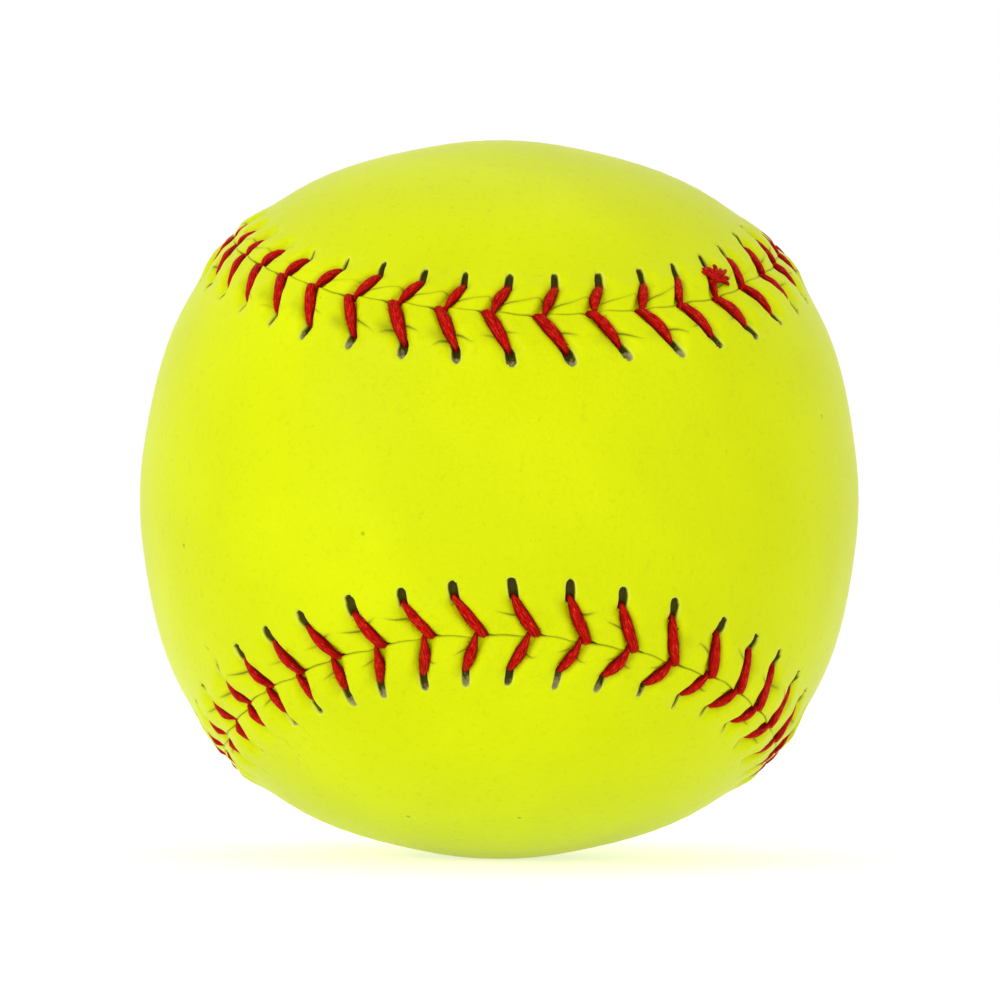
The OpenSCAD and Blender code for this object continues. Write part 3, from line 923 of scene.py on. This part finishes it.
def cover_leather(colours):
    """Pigmented split leather, embossed with a fine grain: satin, evenly bright, with painted shade
    in and beside its creases, beside puckers, in the seam groove and at the rims of its slots."""
    material, tree = new_material("pigmented_leather")
    place = node(tree, "TexCoord").outputs["Object"]
    measure = {
        key: node(tree, "Attribute", {"attribute_name": key}).outputs["Fac"]
        for key in PANEL_MEASURES
    }
    dye = ramp(tree, noise(tree, place, 1 / (22 * MM), 3.0), 0.35, 0.7)
    flecks = ramp(tree, noise(tree, place, 1 / (0.9 * MM), 4.0, 0.65), 0.56, 0.72)
    # Masks for the painted shade in and beside the creases
    crease = calc(tree, "MULTIPLY", band(tree, measure["crease_gap"], 0.19), measure["crease_show"])
    shade = calc(tree, "MULTIPLY", band(tree, measure["crease_gap"], 0.6), measure["crease_show"])
    rim_gap = calc(tree, "SUBTRACT", measure["slot_gap"], 0.13)
    specks = ramp(tree, cells(tree, place, 1 / (9 * MM)), 0.04, 0.02)
    colour = mixed(tree, dye, linear(colours.cover_deep), linear(colours.cover))
    for mask, hex_colour, amount in (
        (flecks, colours.flecks_and_shade, 0.12),
        # painted shade of puckers beside the stitches
        (measure["pucker_shade"], colours.flecks_and_shade, 0.6),
        # painted shade beside the creases, and darker still in them
        (shade, colours.flecks_and_shade, 0.35),
        (crease, colours.flecks_and_shade, 0.85),
        (crease, colours.slot_dark, 0.3),
        # painted shade in the seam groove, darkest down the rolled edges
        (band(tree, measure["seam_gap"], 0.22), colours.flecks_and_shade, 0.45),
        # painted shade at the rim of each slot
        (band(tree, measure["slot_gap"], 0.1), colours.flecks_and_shade, 0.5),
        # a pale rim just outside each slot
        (band(tree, rim_gap, 0.11), colours.pale_slot_rim, 0.22),
        (specks, colours.flecks_and_shade, 0.6),
    ):
        colour = painted(tree, colour, mask, linear(hex_colour), amount)

    # Inside a slot its shaded wall gives way to the paler, fuzzy backing at its far end
    nap = noise(tree, place, 1 / (0.45 * MM), 2.0)
    pale = ramp(tree, calc(tree, "MULTIPLY_ADD", nap, 0.9, measure["slot_along"]), 1.0, 1.35)
    pocket = mixed(tree, pale, linear(colours.slot_dark), linear(colours.slot_pale))
    inside = ramp(tree, measure["slot_gap"], 0.04, -0.04)

    # The grain and its pores break up the satin highlight, and the creases fold into it
    grain = cells(tree, place, 1 / (0.75 * MM))
    pores = noise(tree, place, 1 / (0.35 * MM), 2.0)
    relief = calc(tree, "ADD", grain, pores)
    fine = node(tree, "Bump", {"Strength": 0.5, "Distance": 0.1 * MM, "Height": relief}).outputs[0]
    folds = node(tree, "Bump", {
        "invert": True, "Strength": 0.6, "Distance": 0.12 * MM, "Height": crease, "Normal": fine,
    })
    end_in(tree, "BsdfPrincipled", {
        "Base Color": mixed(tree, inside, colour, pocket),
        "Roughness": 0.36, "IOR": 1.5, "Specular IOR Level": 0.07, "Normal": folds.outputs[0],
    })
    return material


def waxed_thread(colours):
    """Waxed cotton thread: deep red plies with a low sheen, painted shade in the lines between
    fibres, under the plies and at the borders of a leg, and a painted highlight on a few fibres.
    """
    material, tree = new_material("waxed_cotton_thread")
    along = node(tree, "UVMap", {"uv_map": "ply"}).outputs[0]
    place = node(tree, "TexCoord").outputs["Object"]
    stretched = node(tree, "Mapping", {"Scale": (0.45, 8.0, 1.0), "Vector": along}).outputs[0]

    # Painted shade: fibres are darker between one another, on a ply's underside and at the borders
    # of a leg
    fibre = noise(tree, stretched, 2.0, 4.0)
    around = node(tree, "SeparateXYZ", {0: along}).outputs[1]
    crown = calc(tree, "SINE", calc(tree, "MULTIPLY", around, 2 * math.pi))
    border = node(tree, "Attribute", {"attribute_name": "border"}).outputs["Fac"]
    shade = calc(tree, "MULTIPLY", ramp(tree, crown, -0.45, 0.75), ramp(tree, fibre, 0.36, 0.56))
    shade = calc(tree, "MULTIPLY", shade, ramp(tree, border, 1.0, 0.6))
    colour = mixed(tree, shade, linear(colours.thread_dark), linear(colours.thread))

    # Dye evens the red out in soft patches, and a painted highlight glints on a few fibres, most
    # where the painted shade is light
    cloud = noise(tree, place, 1 / (1.2 * MM), 2.0)
    colour = mixed(tree, ranged(tree, cloud, 0.05, 0.45), colour, linear(colours.thread))
    glint = ramp(tree, noise(tree, stretched, 3.0, 2.0), 0.56, 0.64)
    painted_glints = calc(tree, "MULTIPLY", glint, shade)
    colour = painted(tree, colour, painted_glints, linear(colours.thread_glint), 0.7)
    bump = node(tree, "Bump", {"Strength": 0.7, "Distance": 0.08 * MM, "Height": fibre})
    end_in(tree, "BsdfPrincipled", {
        "Base Color": colour,
        "Roughness": 0.32, "IOR": 1.5, "Specular IOR Level": 0.035, "Normal": bump.outputs[0],
    })
    return material


def packed_fibre(name, low, high, size):
    """Matte yarn, latex or kapok below the cover: a pale mottled solid."""
    material, tree = new_material(name)
    yarn = noise(tree, node(tree, "TexCoord").outputs["Object"], 1 / size, 4.0)
    bump = node(tree, "Bump", {"Strength": 0.4, "Distance": 0.2 * MM, "Height": yarn})
    end_in(tree, "BsdfPrincipled", {
        "Base Color": mixed(tree, yarn, linear(low), linear(high)),
        "Roughness": 0.85, "Normal": bump.outputs[0],
    })
    return material


def seen_directly(tree):
    """1 for rays from the camera, straight or by way of a mirror or glass, 0 for scattered ones."""
    rays = node(tree, "LightPath").outputs
    straight = calc(tree, "MAXIMUM", rays["Is Camera Ray"], rays["Is Glossy Ray"])
    return calc(tree, "MAXIMUM", straight, rays["Is Transmission Ray"])


# The paper's own glow, as scattered rays and as the camera see it. It stands for a light table
PAPER_GLOW = (0.24, 0.52)
# The strength of the world's light on the ball
WORLD_GLOW = 0.61
FLOOR_HALF = 3.0


def white_paper():
    """Matte white paper that the camera sees as plain white where no shadow falls."""
    material, tree = new_material("white_paper")
    glow = ranged(tree, seen_directly(tree), *PAPER_GLOW)
    end_in(tree, "BsdfPrincipled", {
        "Base Color": linear("#F2F2F2"), "Roughness": 0.9, "Specular IOR Level": 0.1,
        "Emission Color": (1, 1, 1, 1), "Emission Strength": glow,
    })
    return material


def make_floor():
    """A sheet of paper under the ball."""
    bm = bmesh.new()
    bmesh.ops.create_grid(bm, x_segments=1, y_segments=1, size=FLOOR_HALF)
    bmesh.ops.translate(bm, verts=bm.verts, vec=(0, 0, cad_box[0].z))
    mesh = bpy.data.meshes.new("floor")
    bm.to_mesh(mesh)
    bm.free()
    mesh.materials.append(white_paper())
    floor = bpy.data.objects.new("floor", mesh)
    bpy.context.scene.collection.objects.link(floor)


def make_world():
    """A white backdrop, which lights the ball less than it shines in the picture."""
    world = bpy.data.worlds.new("studio")
    world.use_nodes = True
    tree = world.node_tree
    tree.nodes.clear()
    glow, white = (
        node(tree, "Background", {"Color": (1, 1, 1, 1), "Strength": strength}).outputs[0]
        for strength in (WORLD_GLOW, 1.0)
    )
    mix = node(tree, "MixShader", {0: seen_directly(tree), 1: glow, 2: white})
    node(tree, "OutputWorld", {"Surface": mix.outputs[0]})
    bpy.context.scene.world = world


# The lamps, each with its place, its width and height and its power in watts
LAMPS = {
    "key_softbox": ((-0.78, -0.7, 0.42), (0.5, 0.5), 2.6),
    "top_softbox": ((0.1, 0.1, 0.8), (0.7, 0.7), 0.5),
    "fill_softbox": ((0.75, -0.6, 0.15), (0.7, 0.7), 0.95),
    "low_softbox": ((-0.25, -0.7, 0.06), (1.2, 0.2), 0.8),
}


def area_light(name, place, size, power):
    """A soft lamp that faces the ball."""
    lamp = bpy.data.lights.new(name, "AREA")
    lamp.shape = "RECTANGLE"
    lamp.size, lamp.size_y = size
    lamp.energy = power
    made = bpy.data.objects.new(name, lamp)
    made.location = place
    made.rotation_euler = (-Vector(place)).to_track_quat("-Z", "Y").to_euler()
    bpy.context.scene.collection.objects.link(made)


# The camera, from the photograph: how the ball is turned to it, how far it stands in radii of the
# ball, and how large the ball is and where its centre lies in the 1000 pixel frame
TILT, YAW, ROLL = math.radians(-3.35), math.radians(2.57), math.radians(-0.77)
STAND_OFF = 8.57
BALL_PX = 359.5
CENTRE_PX = (499.2, 499.6)
FRAME_PX = 1000


def make_camera():
    """A long lens at the photograph's angle, level with the ball."""
    turns = ((ROLL, "Z"), (YAW, "Y"), (TILT, "X"))
    roll, yaw, tilt = (Matrix.Rotation(angle, 3, axis) for angle, axis in turns)
    right, up, back = (Vector((row[0], -row[2], row[1])) for row in roll @ yaw @ tilt)
    focal_px = BALL_PX * math.sqrt(STAND_OFF**2 - 1)
    data = bpy.data.cameras.new("studio_camera")
    data.sensor_width = 36
    data.lens = focal_px / FRAME_PX * data.sensor_width
    data.shift_x = (FRAME_PX / 2 - CENTRE_PX[0]) / FRAME_PX
    data.shift_y = (CENTRE_PX[1] - FRAME_PX / 2) / FRAME_PX
    data.clip_start, data.clip_end = 0.01, 50
    camera = bpy.data.objects.new("studio_camera", data)
    camera.matrix_world = Matrix((right, up, back)).transposed().to_4x4()
    camera.location = back * STAND_OFF * BALL_R
    bpy.context.scene.collection.objects.link(camera)
    bpy.context.scene.camera = camera


# The layers below the cover, each with its material's name, darker and paler colour and mottle
INNER_LOOKS = {
    "fibre_core": ("kapok_fibre", "#8F7448", "#B79A68", 3 * MM),
    "inner_winding": ("coarse_wool_yarn", "#A79F88", "#CFC8B4", 2 * MM),
    "outer_winding": ("fine_cotton_yarn", "#C9C4B2", "#EEEADC", 1 * MM),
    "rubber_coat": ("dried_latex", "#6E6A45", "#9C966A", 2 * MM),
}


class SOFTBALL_OT_inside(bpy.types.Operator):
    """Dress the core, the windings and the latex coat below the cover"""

    bl_idname = "softball.inside"
    bl_label = "Inside"

    def execute(self, context):
        for name, look in INNER_LOOKS.items():
            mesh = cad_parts[name].data
            mesh.materials.clear()
            mesh.materials.append(packed_fibre(*look))
        return {"FINISHED"}


class SOFTBALL_OT_cover(bpy.types.Operator):
    """Make the two cover panels"""

    bl_idname = "softball.cover"
    bl_label = "Cover"

    def execute(self, context):
        cover = Cover(context.scene.softball_sizes)
        leather = cover_leather(context.scene.softball_colours)
        make_panel(cover, FRONT, "front_panel", leather)
        make_panel(cover, BACK, "back_panel", leather)
        return {"FINISHED"}


class SOFTBALL_OT_threads(bpy.types.Operator):
    """Sew the two threads and fray their end"""

    bl_idname = "softball.threads"
    bl_label = "Threads"

    def execute(self, context):
        cover = Cover(context.scene.softball_sizes)
        thread = waxed_thread(context.scene.softball_colours)
        make_threads(cover, FRONT, "first_needle_thread", "thread_first_needle", thread)
        make_threads(cover, BACK, "second_needle_thread", "thread_second_needle", thread)
        make_knot(cover, thread)
        return {"FINISHED"}


class SOFTBALL_OT_stage(bpy.types.Operator):
    """Set the floor, the backdrop, the lamps and the camera"""

    bl_idname = "softball.stage"
    bl_label = "Stage"

    def execute(self, context):
        make_floor()
        make_world()
        for name, (place, size, power) in LAMPS.items():
            area_light(name, place, size, power)
        make_camera()
        context.scene.view_settings.view_transform = "Standard"
        return {"FINISHED"}


class SOFTBALL_PT_panel(bpy.types.Panel):
    """Lists the pieces of the softball"""

    bl_idname = "SOFTBALL_PT_panel"
    bl_label = "Softball"
    bl_space_type = "VIEW_3D"
    bl_region_type = "UI"
    bl_category = "Softball"

    def draw(self, context):
        for operator in OPERATORS:
            self.layout.operator(operator.bl_idname)
        for group in (context.scene.softball_sizes, context.scene.softball_colours):
            for key in group.__annotations__:
                self.layout.prop(group, key)


OPERATORS = (SOFTBALL_OT_inside, SOFTBALL_OT_cover, SOFTBALL_OT_threads, SOFTBALL_OT_stage)
CLASSES = (BallSizes, BallColours, *OPERATORS, SOFTBALL_PT_panel)


def register():
    for cls in CLASSES:
        bpy.utils.register_class(cls)
    bpy.types.Scene.softball_sizes = bpy.props.PointerProperty(type=BallSizes)
    bpy.types.Scene.softball_colours = bpy.props.PointerProperty(type=BallColours)


def unregister():
    del bpy.types.Scene.softball_sizes
    del bpy.types.Scene.softball_colours
    for cls in reversed(CLASSES):
        bpy.utils.unregister_class(cls)


def main():
    register()
    bpy.ops.softball.inside()
    bpy.ops.softball.cover()
    bpy.ops.softball.threads()
    bpy.ops.softball.stage()
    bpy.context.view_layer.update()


if __name__ == "__main__":
    main()
